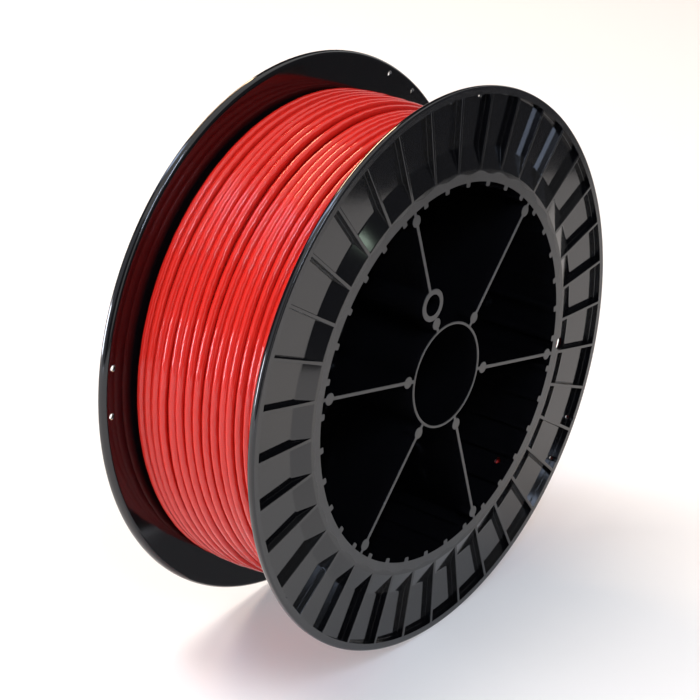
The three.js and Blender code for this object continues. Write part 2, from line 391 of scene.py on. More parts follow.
def strip_outline(inner, outer, thickness, angle):
    """The four corners of a strip that runs along the radius, with a few points along its sides."""
    share = np.linspace(0, 1, 6)
    radius = np.concatenate([inner + (outer - inner) * share, outer - (outer - inner) * share])
    offset = np.repeat([-thickness / 2, thickness / 2], len(share))
    ahead = np.array([math.cos(angle), math.sin(angle)])
    aside = np.array([-math.sin(angle), math.cos(angle)])
    return radius[:, None] * ahead + offset[:, None] * aside


# ---- materials ----

# Roughness of the moulding's polish and what full wear adds to it, the wear beside the land and on the
# rim, the width over which wear sets in, and how far it stops short of the land's edge, most and least.
POLISH = (0.07, 0.12)
DULLED = 0.3
LEAST_WEAR = 0.06
RIM_WEAR = 0.45
WEAR_EDGE = 0.6 * MM
LAND_SCALLOP = (3.6 * MM, 1.6 * MM)

# Roughness of the sheath, the number of cores in the cable and the height of their ridges.
SATIN = (0.1, 0.18)
CORES = 4
CORE_RIDGE = 0.055 * MM

# The colour inputs and the colour output of a Mix node.
FIRST, SECOND, MIXED = 6, 7, 2


def add_node(tree, kind, inputs=(), **settings):
    """Adds a shader node and gives its outputs.

    Settings set its properties. Its inputs come in the node's own order, or in a dictionary by name or
    number, each as a value or as another node's output.
    """
    node = tree.nodes.new("ShaderNode" + kind)
    for key, value in settings.items():
        setattr(node, key, value)
    for key, value in inputs.items() if isinstance(inputs, dict) else enumerate(inputs):
        if isinstance(value, bpy.types.NodeSocket):
            tree.links.new(value, node.inputs[key])
        else:
            node.inputs[key].default_value = value
    return node.outputs


def empty_tree(holder):
    """Clears the node tree of a new material or world, and gives what adds a node to it."""
    holder.use_nodes = True
    holder.node_tree.nodes.clear()
    return partial(add_node, holder.node_tree)


def detail(size_mm):
    """The noise scale at which one cell is this many millimetres."""
    return 1 / (size_mm * MM)


def moulded_polystyrene(scene):
    """High-impact polystyrene, injection moulded in a polished tool: a black that shows its surroundings
    as a dim mirror. The bands that rub on the ground have lost their polish and gone paler."""
    colours, sizes = scene.reel_colours, scene.moulding_sizes
    made = bpy.data.materials.new("moulded_black_polystyrene")
    add = empty_tree(made)
    place = add("TexCoord")["Object"]
    across, along, up = add("SeparateXYZ", [place])
    flat = add("VectorMath", [place, (1, 0, 1)], operation="MULTIPLY")[0]
    reach = add("VectorMath", [flat], operation="LENGTH")["Value"]
    height = add("Math", [along], operation="ABSOLUTE")[0]
    at_face = add("MapRange", [height, HALF_WIDTH - 0.5 * MM, HALF_WIDTH - 0.1 * MM])[0]

    # The land's edge bends away sooner between the ribs, which are where cos(36 a) has the sign of y.
    around = add("Math", [up, across], operation="ARCTAN2")[0]
    phase = add("Math", [around, 360 / RIB_PITCH], operation="MULTIPLY")[0]
    waves = add("Math", [phase], operation="COSINE")[0]
    side = add("Math", [along], operation="SIGN")[0]
    ribs = add("Math", [waves, side], operation="MULTIPLY")[0]
    scallop = add("MapRange", [ribs, -1, 1, *LAND_SCALLOP])[0]
    edge = add("Math", [reach, scallop], operation="ADD")[0]
    land = sizes.barrel_radius + sizes.land_width
    rim = REEL_RADIUS - sizes.rim_face
    on_land = add("MapRange", [edge, land - WEAR_EDGE, land + WEAR_EDGE, 1, LEAST_WEAR])[0]
    on_rim = add("MapRange", [reach, rim - WEAR_EDGE / 2, rim + WEAR_EDGE / 2, 0, RIM_WEAR])[0]
    on_either = add("Math", [on_land, on_rim], operation="MAXIMUM")[0]
    rubbed = add("Math", [at_face, on_either], operation="MULTIPLY")[0]
    marks = {"Vector": place, "Scale": detail(9), "Detail": 6, "Roughness": 0.7}
    scuffs = add("MapRange", [add("TexNoise", marks)[0], 0.3, 0.7, 0.6])[0]
    wear = add("Math", [rubbed, scuffs], operation="MULTIPLY")[0]

    bloom = add("TexNoise", {"Vector": place, "Scale": detail(35), "Detail": 3})[0]
    sheen = add("MapRange", [bloom, 0, 1, *POLISH])[0]
    dulling = add("Math", [wear, DULLED], operation="MULTIPLY")[0]
    dulled = add("Math", [sheen, dulling], operation="ADD")[0]
    colour_mix = {0: wear, FIRST: (*colours.plastic, 1), SECOND: (*colours.scuffed, 1)}
    black = add("Mix", colour_mix, data_type="RGBA")[MIXED]

    # The tool's polish leaves a faint orange peel a few millimetres across, and walls sink slightly
    # where ribs stand behind them; here that is a broad faint unevenness some centimetres across, not
    # placed at the ribs.
    peel = add("TexNoise", {"Vector": place, "Scale": detail(4), "Detail": 2})[0]
    fine = {"Height": peel, "Strength": 0.5, "Distance": 0.012 * MM}
    sink = add("TexNoise", {"Vector": place, "Scale": detail(40), "Detail": 1})[0]
    broad = {"Height": sink, "Strength": 0.5, "Distance": 0.4 * MM, "Normal": add("Bump", fine)[0]}
    skin = {"Base Color": black, "Roughness": dulled, "IOR": 1.59, "Normal": add("Bump", broad)[0]}
    add("OutputMaterial", [add("BsdfPrincipled", skin)[0]])
    return made


def extruded_sheath(scene):
    """Flexible PVC, drawn through a die as it is extruded: satin, with faint lines along its length, a
    colour that drifts a little from metre to metre, and ripples where the twisted cores show through."""
    colours, sizes = scene.reel_colours, scene.cable_sizes
    made = bpy.data.materials.new("extruded_red_pvc")
    add = empty_tree(made)
    along = add("UVMap", uv_map="along")[0]
    place = add("TexCoord")["Object"]
    drift = add("TexNoise", {"Vector": along, "Scale": detail(160), "Detail": 3})[0]
    colour_mix = {0: drift, FIRST: (*colours.sheath, 1), SECOND: (*colours.sheath_deep, 1)}
    red = add("Mix", colour_mix, data_type="RGBA")[MIXED]
    handling = add("TexNoise", {"Vector": place, "Scale": detail(12), "Detail": 4})[0]
    sheen = add("MapRange", [handling, 0, 1, *SATIN])[0]

    # Ridges over the cores: sin(cores (v / radius + 2 pi u / lay)), with u along and v round the cable.
    twist = (CORES * 2 * math.pi / sizes.lay_length, CORES * 2 / sizes.diameter, 0)
    phase = add("VectorMath", [along, twist], operation="DOT_PRODUCT")["Value"]
    waves = add("Math", [phase], operation="SINE")[0]
    uneven = add("TexNoise", {"Vector": along, "Scale": detail(14), "Detail": 1})[0]
    ridges = add("Math", [waves, uneven], operation="MULTIPLY")[0]
    cores = add("Bump", {"Height": ridges, "Strength": 1.0, "Distance": CORE_RIDGE})[0]
    drawn = add("Mapping", {"Vector": along, "Scale": (detail(60), detail(0.9), 1)})[0]
    lines = add("TexNoise", {"Vector": drawn, "Scale": 1, "Detail": 3})[0]
    fine = {"Height": lines, "Strength": 0.35, "Distance": 0.02 * MM, "Normal": cores}
    skin = {"Base Color": red, "Roughness": sheen, "IOR": 1.53, "Normal": add("Bump", fine)[0]}
    add("OutputMaterial", [add("BsdfPrincipled", skin)[0]])
    return made


FINISHES = {"reel_plastic": moulded_polystyrene, "cable_sheath": extruded_sheath}


@cache
def finish_for(slot):
    """The finish of a material slot, made once."""
    return FINISHES[slot](bpy.context.scene)


# ---- the moulding ----

# Bends of the flange's section: land to slope, slope to pocket floor, and floor to rim.
LAND_BEND = 2.5 * MM
FOOT_BEND = 5 * MM
RIM_FILLET = 0.4 * MM

# An edge or a fillet takes at most this part of a wall's height, and a guard this part.
ROUND_PART = 1 / 2.2
GUARD_PART = 1 / 8

# How far a cutter or a tongue reaches past a surface, how far a web runs into hub and barrel, the
# rounding of thin plates and of the drive ring, the share of a stave that its rounding takes, the spread
# of its foot and the gap outside its tongue.
PAST = 1 * MM
OVERLAP = 0.3 * MM
PLATE_EDGE = 0.3 * MM
RING_EDGE = 0.5 * MM
STAVE_ROUND = 0.45
STAVE_FOOT = 0.4 * MM
TONGUE_GAP = 0.5 * MM


def flange_grid(sizes, side):
    """The flange's whole skin as one (profile row, column round the reel) grid.

    A row is a point of the section through a pocket: land, slope, pocket floor, rim and the cable side.
    A column is a distance x from a rib's middle plane, and stands at the angle asin(x / r). Rib columns
    rise from the row's depth to the face, so every row on the front climbs over all ribs.
    """
    wall = sizes.flange_wall
    land = sizes.barrel_radius + sizes.land_width
    foot = land + sizes.cone_width
    rim = REEL_RADIUS - sizes.rim_face
    slope = sizes.pocket_depth / sizes.cone_width
    shift = wall * (math.hypot(1, slope) - 1) / slope
    front = rounded(
        [
            (sizes.barrel_radius, 0, 0),
            (land, 0, LAND_BEND),
            (foot, sizes.pocket_depth, FOOT_BEND),
            (rim, sizes.pocket_depth, RIM_FILLET),
            (rim, 0, 0),
        ]
    )
    back = rounded(
        [
            (rim, 0, 0),
            (REEL_RADIUS, 0, sizes.rim_front_round),
            (REEL_RADIUS, PLATE_DEPTH, sizes.rim_back_round),
            (foot - shift, PLATE_DEPTH, FOOT_BEND),
            (land - shift, wall, LAND_BEND),
            (sizes.barrel_radius, wall, 0),
            (sizes.barrel_radius, 0, 0),
        ],
        steps=6,
    )
    radius, depth = np.split(np.concatenate([front, back]), 2, axis=1)
    ribbed = (np.arange(len(radius)) < len(front))[:, None]
    fall = np.where(ribbed, depth, 0)

    half = sizes.rib_thickness / 2
    edge = np.minimum(sizes.rib_edge, fall * ROUND_PART)
    fillet = np.minimum(sizes.floor_fillet, fall * ROUND_PART)
    turn = np.linspace(0, math.pi / 2, 5)[None, :]
    widen = sizes.rib_draft * fall / sizes.pocket_depth
    top = np.zeros_like(radius)
    shoulder = half - edge + edge * np.sin(turn)
    shoulder_fall = edge * (1 - np.cos(turn))
    root = half + widen + fillet * (1 - np.cos(turn))
    root_fall = fall - fillet + fillet * np.sin(turn)
    guard = np.minimum(GUARD, fall * GUARD_PART)
    wall_top, wall_foot = shoulder[:, -1:], root[:, :1]
    aside = [top, half - edge - guard, shoulder, wall_top, wall_foot, root, root[:, -1:] + guard]
    down = [top, top, shoulder_fall, edge + guard, fall - fillet - guard, root_fall, fall]
    aside, down = np.concatenate(aside, axis=1), np.concatenate(down, axis=1)
    angle = np.arcsin(aside / radius)
    share = np.linspace(0, 1, 5)[None, 1:]
    half_pitch = math.radians(RIB_PITCH) / 2
    floor_angle = angle[:, -1:] + (half_pitch - angle[:, -1:]) * share
    angle = np.concatenate([angle, floor_angle], axis=1)
    down = np.concatenate([down, np.broadcast_to(fall, floor_angle.shape)], axis=1)
    down = np.where(ribbed, down, depth)
    angle = np.concatenate([-angle[:, :0:-1], angle], axis=1)
    down = np.concatenate([down[:, :0:-1], down], axis=1)

    ribs = np.radians(FIRST_RIB + RIB_PITCH * np.arange(round(360 / RIB_PITCH)))
    around = (ribs[None, :, None] + angle[:, None, :]).reshape(len(radius), -1)
    deep = np.tile(down, (1, len(ribs)))
    around = np.concatenate([around, around[:, :1] + 2 * math.pi], axis=1)
    deep = np.concatenate([deep, deep[:, :1]], axis=1)
    return shell(place_half(radius, around, deep, side))


def post(side, centre_radius, angle_degrees, radius, from_depth, to_depth, segments=32):
    """A round cutter along the axis."""
    outline = disc_outline(centre_radius, math.radians(angle_degrees), radius, segments)
    return add_shells("cutter", [prism(outline, side, from_depth, to_depth, 0)])


def make_flange(context, side):
    """One flange: ribbed face, rim, tie holes and the hole for the cable's start."""
    sizes = context.scene.moulding_sizes
    flange = add_shells(f"{side}_ribbed_flange", [flange_grid(sizes, side)])
    tie_radius = REEL_RADIUS - sizes.tie_hole_inset
    through = (-PAST, PLATE_DEPTH + PAST)
    cutters = [post(side, tie_radius, angle, sizes.tie_hole / 2, *through) for angle in TIE_HOLE_ANGLES]
    start_radius = sizes.barrel_radius + sizes.start_hole_offset
    cutters.append(post(side, start_radius, START_HOLE_ANGLE, sizes.start_hole / 2, -PAST, PLATE_DEPTH))
    carve(flange, cutters)
    dress(flange, "reel_plastic", f"{side}_flange")


def barrel_section(sizes, staves, tip):
    """(radius, angle) of the barrel's inner line for one pitch or more: the wall, and a rounded stave
    standing on it at each given angle, with its sides parallel."""
    inner = sizes.barrel_radius - sizes.barrel_wall
    half = sizes.stave_width / 2
    round_off = min(sizes.stave_height, half) * STAVE_ROUND
    turn = np.linspace(0, math.pi / 2, 4)
    aside = np.concatenate([[0], half - round_off + round_off * np.sin(turn), [half, half]])
    radius = np.concatenate([[tip], tip + round_off * (1 - np.cos(turn)), [inner - STAVE_FOOT, inner]])
    angle = np.arcsin(aside / radius)
    angle[-1] += STAVE_FOOT / inner
    half_pitch = math.radians(RIB_PITCH) / 2
    share = np.linspace(0, 1, 4)[1:]
    angle = np.concatenate([angle, angle[-1] + (half_pitch - angle[-1]) * share])
    radius = np.concatenate([radius, np.full(3, inner)])
    angle = np.concatenate([-angle[:0:-1], angle])
    radius = np.concatenate([radius[:0:-1], radius])
    around = (np.radians(staves)[:, None] + angle[None]).reshape(-1)
    return np.append(np.tile(radius, len(staves)), radius[0]), np.append(around, around[0] + 2 * math.pi)


def tongue(sizes, side, angle):
    """The end of a stave, carried on past mid-width into the other half, with rounded edges."""
    inner = sizes.barrel_radius - sizes.barrel_wall
    tip = inner - sizes.stave_height
    outline = strip_outline(tip, inner - TONGUE_GAP, sizes.stave_width, math.radians(angle))
    return prism(outline, side, HALF_DEPTH - PAST, TONGUE_DEPTH, PLATE_EDGE)


def faces_web(angle):
    """Whether a stave of one half points at a web of the other half, so that it has no tongue."""
    pitch = WEB_ANGLES[1] - WEB_ANGLES[0]
    turns = (angle - 180 + WEB_ANGLES[0] + HALF_TURN["far"]) / pitch
    return abs(turns - round(turns)) < 0.01


def make_barrel(context, side):
    """One half of the barrel: its wall, the staves inside it and their tongues."""
    sizes = context.scene.moulding_sizes
    staves = RIB_PITCH * np.arange(round(360 / RIB_PITCH))
    tip = sizes.barrel_radius - sizes.barrel_wall - sizes.stave_height
    radius, around = barrel_section(sizes, staves, tip)
    depth = np.array([0, HALF_DEPTH, HALF_DEPTH, 0, 0])[:, None]
    inside = np.array([False, False, True, True, False])[:, None]
    skin = place_half(np.where(inside, radius, sizes.barrel_radius), around[None], depth, side)
    barrel = add_shells(f"{side}_staved_barrel", [shell(skin)], 30)

    long_enough = 4 * (sizes.barrel_wall + sizes.stave_height)
    cutter = post(side, 0, 0, sizes.barrel_hole / 2, 0, long_enough, 24)
    hole_angle = math.radians(BARREL_HOLE_ANGLE)
    centre = place_half(sizes.barrel_radius, hole_angle, sizes.barrel_hole_depth, side).reshape(3)
    outward = Vector((centre[0], 0, centre[2])).normalized()
    upright = Matrix.Translation(Vector(centre)) @ outward.to_track_quat("Y", "Z").to_matrix().to_4x4()
    middle = sum((vertex.co for vertex in cutter.data.vertices), Vector()) / len(cutter.data.vertices)
    cutter.data.transform(upright @ Matrix.Translation(-middle))
    carve(barrel, [cutter])

    tongues = [tongue(sizes, side, angle) for angle in staves if not faces_web(angle)]
    join_meshes(barrel, add_shells("tongues", tongues))
    dress(barrel, "reel_plastic", f"{side}_barrel")


def make_hub(context, side):
    """One half of the hub: a tube with softly rounded lips."""
    sizes = context.scene.moulding_sizes
    inner = sizes.hub_radius - sizes.hub_wall
    middle = (inner + sizes.hub_radius) / 2
    lip, root = 0.5 * MM, 0.2 * MM
    profile = rounded(
        [
            (middle, 0, 0),
            (sizes.hub_radius, 0, lip),
            (sizes.hub_radius, HALF_DEPTH, root),
            (inner, HALF_DEPTH, root),
            (inner, 0, lip),
            (middle, 0, 0),
        ]
    )
    hub = add_shells(f"{side}_hub_tube", [revolved(profile, side, 120)])
    dress(hub, "reel_plastic", f"{side}_hub")


def make_web(context, side, number):
    """One web: a thin plate from hub to barrel with an ejector pad near each end. The drive web also
    carries the ring that takes the pin of a winding machine."""
    sizes = context.scene.moulding_sizes
    angle = math.radians(WEB_ANGLES[number])
    inner = sizes.hub_radius - OVERLAP
    outer = sizes.barrel_radius - sizes.barrel_wall + OVERLAP
    name = f"{side}_drive_web" if number == DRIVE_WEB else f"{side}_web_{number + 1}"
    plate = strip_outline(inner, outer, sizes.web_thickness, angle)
    web = add_shells(f"{name}_plate", [prism(plate, side, 0, HALF_DEPTH, PLATE_EDGE)])
    added = []
    for centre in (inner + sizes.pad_inset, outer - sizes.pad_inset):
        outline = disc_outline(centre, angle, sizes.pad_radius, 48)
        added.append(add_shells("pad", [prism(outline, side, 0, sizes.pad_length, PLATE_EDGE)]))
    ring_centre = sizes.hub_radius + sizes.drive_offset
    if number == DRIVE_WEB:
        outline = disc_outline(ring_centre, angle, sizes.drive_radius, 64)
        added.append(add_shells("ring", [prism(outline, side, 0, HALF_DEPTH, RING_EDGE)]))
    carve(web, added, "UNION")
    if number == DRIVE_WEB:
        bore = sizes.drive_radius - sizes.drive_wall
        through = (-PAST, HALF_DEPTH + PAST)
        carve(web, [post(side, ring_centre, WEB_ANGLES[number], bore, *through, 64)])
    dress(web, "reel_plastic", name)


# ---- the cable ----

# Where along the axis the winding starts to lie lower and where it lies lowest, the angles that the
# start end covers, the ripple on the sheath, the gap between barrel and winding, the angle of one step
# of the path, and the slowest and fastest wave of a turn's wander, in waves to a turn.
SAG_FROM, SAG_TO = 0.030, -0.010
START_SPAN = (325, 354)
RIPPLE = 0.05 * MM
CLEARANCE = 0.3 * MM
PATH_STEP = 1.5
WANDER_RATES = (0.35, 4.6)
SWAY_SEED, LIFT_SEED = 3, 8


def tube(path, outward, radius, sides, lay_length):
    """A tube along a path: p(s, a) = path(s) + R(s, a) (cos a . outward + sin a . aside).

    R is the cable's radius with a ripple of two low ridges that follow the twisted cores beneath the
    sheath: R = radius + ripple cos 2(a - 2 pi s / lay). Both ends close with a slightly domed cap.
    """
    ahead = np.gradient(path, axis=0)
    ahead /= np.linalg.norm(ahead, axis=1, keepdims=True)
    outward = outward - (outward * ahead).sum(axis=1, keepdims=True) * ahead
    outward /= np.linalg.norm(outward, axis=1, keepdims=True)
    aside = np.cross(ahead, outward)
    step = np.linalg.norm(np.diff(path, axis=0), axis=1)
    run = np.concatenate([[0], np.cumsum(step)])
    angle = np.linspace(0, 2 * math.pi, sides + 1)

    cap = np.array([0, 0.8, 1.0])
    dome = 0.3 * MM * (1 - cap)[:, None]
    path = np.concatenate([path[0] - ahead[0] * dome, path, path[-1] + ahead[-1] * dome[::-1]])
    outward, aside = (np.pad(way, ((3, 3), (0, 0)), "edge") for way in (outward, aside))
    run = np.pad(run, 3, "edge")
    swell = np.concatenate([cap, np.ones(len(run) - 6), cap[::-1]])

    ridge = radius + RIPPLE * np.cos(2 * (angle[None] - 2 * math.pi * run[:, None] / lay_length))
    across = ridge * swell[:, None]
    points = (
        path[:, None]
        + (across * np.cos(angle))[..., None] * outward[:, None]
        + (across * np.sin(angle))[..., None] * aside[:, None]
    )
    places = np.stack(np.broadcast_arrays(run[:, None], radius * angle[None]), axis=-1)
    return shell(points, places)


def wander(angle, size, seed, harmonics=14):
    """A smooth aimless curve along the winding: a sum of sines with periods from a fifth of a turn."""
    draw = np.random.default_rng(seed)
    rate = draw.uniform(*WANDER_RATES, harmonics)
    phase = draw.uniform(0, 2 * math.pi, harmonics)
    weight = draw.uniform(0.4, 1.0, harmonics) / np.sqrt(rate + 0.5)
    wave = (weight[:, None] * np.sin(rate[:, None] * angle[None] + phase[:, None])).sum(axis=0)
    return size * wave / np.sqrt((weight**2).sum() / 2)


def ease(value, start, end):
    """A smooth step from 0 at the start to 1 at the end: 3t^2 - 2t^3."""
    share = np.clip((value - start) / (end - start), 0, 1)
    return share * share * (3 - 2 * share)


def sag(sizes, along):
    """How much lower the winding lies at a place along the axis, from nothing on the far side."""
    return sizes.near_sag * ease(along, SAG_FROM, SAG_TO)


def spread(sizes):
    """How far from mid-width the outermost turns' centre lines lie, and the pitch of the turns."""
    inside = HALF_WIDTH - PLATE_DEPTH - sizes.end_gap - sizes.diameter / 2
    return inside, 2 * inside / (sizes.turns - 1)


def coil(angle, reach, along):
    """A path round the axis by its angles, radii and places along the axis, with its outward ways."""
    outward = np.stack([np.cos(angle), np.zeros_like(angle), np.sin(angle)], axis=-1)
    path = outward * np.reshape(reach, (-1, 1))
    path[:, 1] = along
    return path, outward


def make_outer_turns(context):
    """The outer layer, one length of cable: wound side by side from the far flange to the near one.

    Each turn keeps its place until the crossing starts, and has moved on by one place where it ends.
    """
    sizes = context.scene.cable_sizes
    begin, finish = sizes.crossing_end, sizes.crossing_start
    first_angle = begin - 2 * math.pi * (sizes.turns - 1)
    steps = round(math.degrees(finish - first_angle) / PATH_STEP)
    angle = np.linspace(first_angle, finish, steps + 1)
    turns = (angle - begin) / (2 * math.pi) + sizes.turns - 1
    kept = 1 - (begin - finish) / (2 * math.pi)
    place = np.floor(turns) + ease(turns % 1, kept, 1)
    inside, pitch = spread(sizes)
    ends = np.clip(np.minimum(place, sizes.turns - 1 - place), 0, 1)
    along = inside - pitch * place + ends * wander(angle, sizes.sway, SWAY_SEED)
    reach = sizes.outer_radius - sag(sizes, along) + wander(angle, sizes.lift, LIFT_SEED)
    turn = tube(*coil(angle, reach, along), sizes.diameter / 2, 16, sizes.lay_length)
    piece = add_shells("cable_outer_turns", [turn], 50)
    dress(piece, "cable_sheath", "cable_outer_layer", "cable_last_turn")


def make_inner_layers(context):
    """The layers beneath: a sleeve whose outside follows the turns of the next layer down, a half
    place over: r(y) = centre + sqrt(radius^2 - dy^2) about each turn."""
    sizes = context.scene.cable_sizes
    radius = sizes.diameter / 2
    bore = context.scene.moulding_sizes.barrel_radius + CLEARANCE
    centre = sizes.outer_radius - sizes.layer_rise
    inside, pitch = spread(sizes)
    along = np.linspace(-inside, inside, 16 * (sizes.turns - 1) + 1)
    offset = np.abs((along / pitch + sizes.turns / 2) % 1 - 0.5) * pitch
    reach = centre - sag(sizes, along) + np.sqrt(np.maximum(radius**2 - offset**2, 0))
    depth = along + HALF_WIDTH
    ends = np.array([[bore, depth[-1]], [bore, depth[0]]])
    profile = np.vstack([np.stack([reach, depth], axis=-1), ends])
    piece = add_shells("cable_layers_beneath", [revolved(profile, "near", 180)])
    dress(piece, "cable_sheath", "cable_inner_layers")


def make_start_end(context):
    """The start of the cable, tucked into the recess behind the near flange's land."""
    sizes = context.scene.cable_sizes
    low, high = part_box("cable_start_end")
    reach = context.scene.moulding_sizes.barrel_radius + CLEARANCE + sizes.diameter / 2
    path = coil(np.radians(np.linspace(*START_SPAN, 40)), reach, (low.y + high.y) / 2)
    turn = tube(*path, (high.y - low.y) / 2, 24, sizes.lay_length)
    piece = add_shells("cable_tucked_start", [turn], 50)
    dress(piece, "cable_sheath", "cable_start_end")


# ---- the studio ----

CAMERA_PLACE = Vector((-0.9488, -0.7624, 0.5996))
CAMERA_AHEAD = Vector((0.69274, 0.56959, -0.44235))
CAMERA_UP = Vector((0.35329, 0.26671, 0.89669))
FOCAL_PIXELS = 1924.96
SENSOR_WIDTH = 36.0

# Each lamp: direction from the reel, distance, width and height in metres, power in watts, colour. The
# windows and the glint show in the gloss, and the fills are left out of reflections.
LAMPS = {
    "warm_window": ((0.319, 0.754, 0.577), 3.0, (1.3, 0.5), 42, "#ffdcb6"),
    "cool_window": ((-0.154, 0.687, 0.711), 3.0, (0.5, 1.2), 14, "#c9dcff"),
    "side_window": ((-0.715, 0.680, 0.080), 3.0, (0.4, 0.8), 30, "#eef2ff"),
    "corner_window": ((-0.480, -0.517, 0.709), 3.0, (0.15, 1.0), 13, "#cfe0ff"),
    "high_window": ((-0.250, -0.500, 0.830), 3.0, (0.15, 0.9), 13, "#cfe0ff"),
    "front_glint": ((0.410, -0.911, 0.054), 1.62, (0.05, 0.03), 0.05, "#e6ffea"),
    "left_fill": ((-0.99, 0.0, -0.02), 3.2, (1.0, 1.4), 92, "#e8eeff"),
    "front_fill": ((-0.20, -0.71, 0.67), 3.2, (2.0, 2.0), 20, "#ffffff"),
    "top_fill": ((-0.12, 0.18, 0.96), 3.0, (1.4, 1.4), 76, "#fff4e8"),
}
FILL_ONLY = ("left_fill", "front_fill", "top_fill")
WORLD_FILL = 0.08
FLOOR_LIFT = 0.25
FLOOR_REACH = 9

# Cards that only reflections see: glowing sheets that paint the reflections of a room round a white
# table, which is dark but on the left, and of the table's edge, and the painted shadow under the reel.
# For
# each: the middle of a card, the way it faces, the way its width runs, its width and height in metres,
# and its brightness. Last, the radius and the place along the axis of a black disc, unseen by the
# camera, that
# paints shade inside the barrel: it blocks the lamps there and shows black in reflections.
CARD_GAP = 2 * MM
TO_TABLE = Vector((-0.56, 0.83, 0)).normalized()
TABLE_EDGE = Vector((0.83, 0.56, 0)).normalized()
SHADE_DISC = (0.137, 0.066)


def along_edge(distance, height):
    """A place in front of the reel, a distance out past the middle of the front edge of the table that
    the cards paint in reflections.
    """
    return -TO_TABLE * distance + Vector((0, 0, height))


CARDS = {
    # Painted shadow: a dim card on the floor under the reel, which darkens the floor's reflection there.
    "beneath": ((0.04, 0, FLOOR_HEIGHT + CARD_GAP), (0, 0, 1), (1, 0, 0), (0.32, 0.12), 0.2),
    "front_ground_painted_reflection": (along_edge(1.35, FLOOR_HEIGHT + CARD_GAP), (0, 0, 1), TABLE_EDGE, (6.0, 1.0), 0.09),
    "front_painted_reflection": (along_edge(1.85, 1.1), TO_TABLE, TABLE_EDGE, (6.0, 2.6), 0.09),
    "back_painted_reflection": ((0.9, 3.6, 2.4), (-0.25, -0.97, 0), (0.97, -0.25, 0), (11.0, 5.4), 0.03),
    "left_painted_reflection": ((-3.6, 2.2, 2.0), (1, 0, 0), (0, 1, 0), (4.6, 4.6), 0.6),
    "corner_painted_reflection": ((-3.6, -1.8, 2.0), (1, 0, 0), (0, 1, 0), (3.4, 4.6), 0.06),
}


def make_camera():
    """The camera of the photograph's view: its place and turn, with a lens of the same field."""
    data = bpy.data.cameras.new("camera")
    data.sensor_width = SENSOR_WIDTH
    data.lens = FOCAL_PIXELS / PHOTO_PIXELS * SENSOR_WIDTH
    data.clip_start, data.clip_end = 0.05, 60
    camera = add_object("camera", data)
    back = -CAMERA_AHEAD.normalized()
    right = CAMERA_UP.cross(back).normalized()
    up = back.cross(right)
    turn = Matrix((right, up, back)).transposed()
    camera.matrix_world = Matrix.Translation(CAMERA_PLACE) @ turn.to_4x4()
    bpy.context.scene.camera = camera


def make_lamp(name, direction, distance, size, power, code):
    """A plain rectangular soft light that faces the reel."""
    data = bpy.data.lights.new(name, "AREA")
    data.shape = "RECTANGLE"
    data.size, data.size_y = size
    data.energy = power
    data.color = linear(code)
    lamp = add_object(name, data)
    away = Vector(direction).normalized()
    lamp.location = away * distance
    lamp.rotation_euler = away.to_track_quat("Z", "Y").to_euler()
    lamp.visible_glossy = name not in FILL_ONLY


def hang_card(name, points, brightness):
    """A flat glowing card of even brightness with the given outline, which shows in reflections only: a
    painted reflection.
    """
    mesh = bpy.data.meshes.new(name)
    mesh.from_pydata([tuple(p) for p in points], [], [tuple(range(len(points)))])
    made = bpy.data.materials.new(f"{name}_painted_reflection")
    add = empty_tree(made)
    glow = add("Emission", [(*linear("#f4f6ff"), 1), brightness])[0]
    add("OutputMaterial", [glow])
    mesh.materials.append(made)
    card = add_object(name, mesh)
    for rays in ("camera", "diffuse", "transmission", "shadow"):
        setattr(card, f"visible_{rays}", False)
    return card


def make_card(name, centre, facing, width_way, size, brightness):
    """A rectangular glowing card for painted reflections, which takes no light from the object."""
    across = Vector(width_way).normalized() * size[0] / 2
    up = Vector(facing).cross(across).normalized() * size[1] / 2
    points = [Vector(centre) + a * across + b * up for a, b in ((-1, -1), (1, -1), (1, 1), (-1, 1))]
    hang_card(name, points, brightness)


def make_shade_disc():
    """An unseen black disc just inside the reel's far face, which paints shade: it keeps the windows'
    light out of the barrel and shows black in its reflections.
    """
    radius, place = SHADE_DISC
    points = [Vector((p[0], place, p[1])) for p in disc_outline(0, 0, radius, 64)]
    hang_card("shade_disc", points, 0).visible_shadow = True


def seen_directly(add):
    """1 for rays that show a background: camera, glossy and transmission rays."""
    path = add("LightPath")
    seen = path["Is Camera Ray"]
    for kind in ("Is Glossy Ray", "Is Transmission Ray"):
        seen = add("Math", [seen, path[kind]], operation="MAXIMUM")[0]
    return seen


def make_world():
    """A plain even fill light, with white behind everything that is seen."""
    world = bpy.data.worlds.new("studio")
    add = empty_tree(world)
    fill = add("Background", [(*linear("#f2f5ff"), 1), WORLD_FILL])[0]
    white = add("Background", [(*linear("#ffffff"), 1), 1.0])[0]
    mixed = add("MixShader", [seen_directly(add), fill, white])[0]
    add("OutputWorld", [mixed])
    bpy.context.scene.world = world


def painted_floor(colours):
    """Matt white paint on a studio floor. Where it is seen it is lifted to white, under the shadow."""
    made = bpy.data.materials.new("matt_white_floor")
    add = empty_tree(made)
    matt = add("BsdfDiffuse", [(*colours.floor, 1)])[0]
    lift = add("Math", [seen_directly(add), FLOOR_LIFT], operation="MULTIPLY")[0]
    glow = add("Emission", [(*linear("#ffffff"), 1), lift])[0]
    both = add("AddShader", [matt, glow])[0]
    add("OutputMaterial", [both])
    return made


def make_floor(context):
    """A wide flat floor that the reel's rims stand on."""
    edge = np.linspace(-FLOOR_REACH, FLOOR_REACH, 7)
    across, ahead = np.meshgrid(edge, edge, indexing="ij")
    points, corners, _ = shell(np.stack([across, ahead, np.full_like(across, FLOOR_HEIGHT)], axis=-1))
    mesh = bpy.data.meshes.new("floor")
    mesh.from_pydata(points.tolist(), [], corners.tolist())
    floor = add_object("floor", mesh)
    mesh.materials.append(painted_floor(context.scene.reel_colours))


# ---- operators ----


